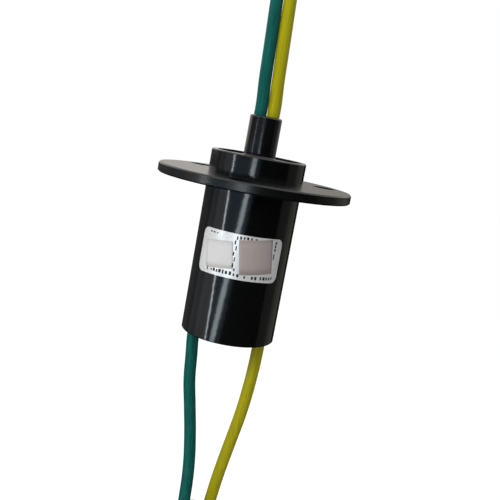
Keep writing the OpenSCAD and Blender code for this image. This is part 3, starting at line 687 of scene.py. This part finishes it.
# %% [markdown]
# ## Cards
# In a product studio, black and grey cards stand round a glossy black part, with
# strips of white between them. Here each card is a piece of a round wall that only
# mirrors can see. The tube is looked down on, so its lower part mirrors a lower part
# of the wall, and a strip of white that leans makes a streak that leans. The upper
# wall is what the sleeve and the flange's top mirror.

# %% Cards round the part
CARD_R = 0.38
CARD_STEP = 3
LOWER_WALL = (-0.149, -0.005)
UPPER_WALL = (-0.005, 0.100)
# Each card: its left edge and its right edge, each as two azimuths in degrees from
# the front (right is plus), at the head and at the foot; its wall; colour, strength
CARDS = {
    "left_flag": ((-171, -171), (-125, -142), LOWER_WALL, "#8a8a88", 0.30),
    "left_dim": ((-125, -142), (-100, -112), LOWER_WALL, "#6f7376", 0.70),
    "left_mid": ((-100, -112), (-82, -86), LOWER_WALL, "#a8adb2", 0.70),
    "left_near": ((-82, -86), (-60, -51.6), LOWER_WALL, "#a8adb2", 1.30),
    "thin_strip": ((-60, -51.6), (-57, -48.6), LOWER_WALL, "#c9d3da", 16.0),
    "blue_card": ((-57, -48.6), (-11.2, -41), LOWER_WALL, "#8fa3bb", 0.90),
    "broad_strip": ((-11.2, -41), (-1.2, -29), LOWER_WALL, "#cfdde4", 7.0),
    "blue_fall": ((-1.2, -29), (8, -17), LOWER_WALL, "#76879f", 1.00),
    "front_flag": ((8, -17), (78, 78), LOWER_WALL, "#101010", 0.10),
    "warm_near": ((78, 78), (110, 110), LOWER_WALL, "#8a8a80", 0.42),
    "warm_far": ((110, 110), (142, 142), LOWER_WALL, "#8a8a80", 0.75),
    "right_flag": ((142, 142), (171, 171), LOWER_WALL, "#30332f", 0.50),
    "back_strip": ((171, 171), (189, 189), LOWER_WALL, "#c9d3da", 1.50),
    "upper_left": ((-110, -110), (-62, -62), UPPER_WALL, "#6f7376", 0.50),
    "upper_strip": ((-62, -62), (-57, -57), UPPER_WALL, "#c9d3da", 1.80),
    "upper_blue": ((-57, -57), (-10, -10), UPPER_WALL, "#7f93ad", 0.35),
    "upper_flag": ((-10, -10), (78, 78), UPPER_WALL, "#101010", 0.10),
    "upper_warm": ((78, 78), (110, 110), UPPER_WALL, "#8a8a80", 0.40),
    "far_right": ((110, 110), (180, 180), UPPER_WALL, "#d2cbc2", 0.62),
    "far_left": ((180, 180), (250, 250), UPPER_WALL, "#d8d2cd", 1.25),
}


def hang_card(name, corners, faces, colour, strength):
    """A plain glowing card that only glossy rays meet."""
    mesh = bpy.data.meshes.new(name)
    mesh.from_pydata(corners, [], faces)
    piece = bpy.data.objects.new(name, mesh)
    bpy.context.scene.collection.objects.link(piece)
    piece.visible_camera = False
    piece.visible_diffuse = False
    piece.visible_shadow = False
    piece.visible_transmission = False
    material, tree = blank_material(name)
    shine = add(tree, "Emission", {"Color": linear(colour), "Strength": strength})
    add(tree, "OutputMaterial", {"Surface": shine.outputs[0]})
    mesh.materials.append(material)


def wall_card(name, left, right, wall, colour, strength):
    """A curved piece of wall between two edges, which may lean."""
    foot, head = wall
    steps = math.ceil(max(b - a for a, b in zip(left, right)) / CARD_STEP)
    corners = []
    for i in range(steps + 1):
        edges = [a + (b - a) * i / steps for a, b in zip(left, right)]
        for azimuth, z in zip(edges, (head, foot)):
            angle = math.radians(azimuth)
            corners.append((CARD_R * math.sin(angle), -CARD_R * math.cos(angle), z))
    faces = [(2 * i, 2 * i + 1, 2 * i + 3, 2 * i + 2) for i in range(steps)]
    hang_card(name, corners, faces, colour, strength)


for name, placed in CARDS.items():
    wall_card(name, *placed)

# A round black card lies under the part, so that its lower edge mirrors no white floor
UNDER_SIDES = 48
under_rim = [(CARD_R * math.cos(2 * math.pi * i / UNDER_SIDES),
              CARD_R * math.sin(2 * math.pi * i / UNDER_SIDES),
              LOWER_WALL[0]) for i in range(UNDER_SIDES)]
hang_card("under_flag", under_rim, [list(range(UNDER_SIDES))], "#101010", 0.10)
bpy.context.scene.view_settings.view_transform = "Standard"
print("cards:", len(CARDS) + 1)
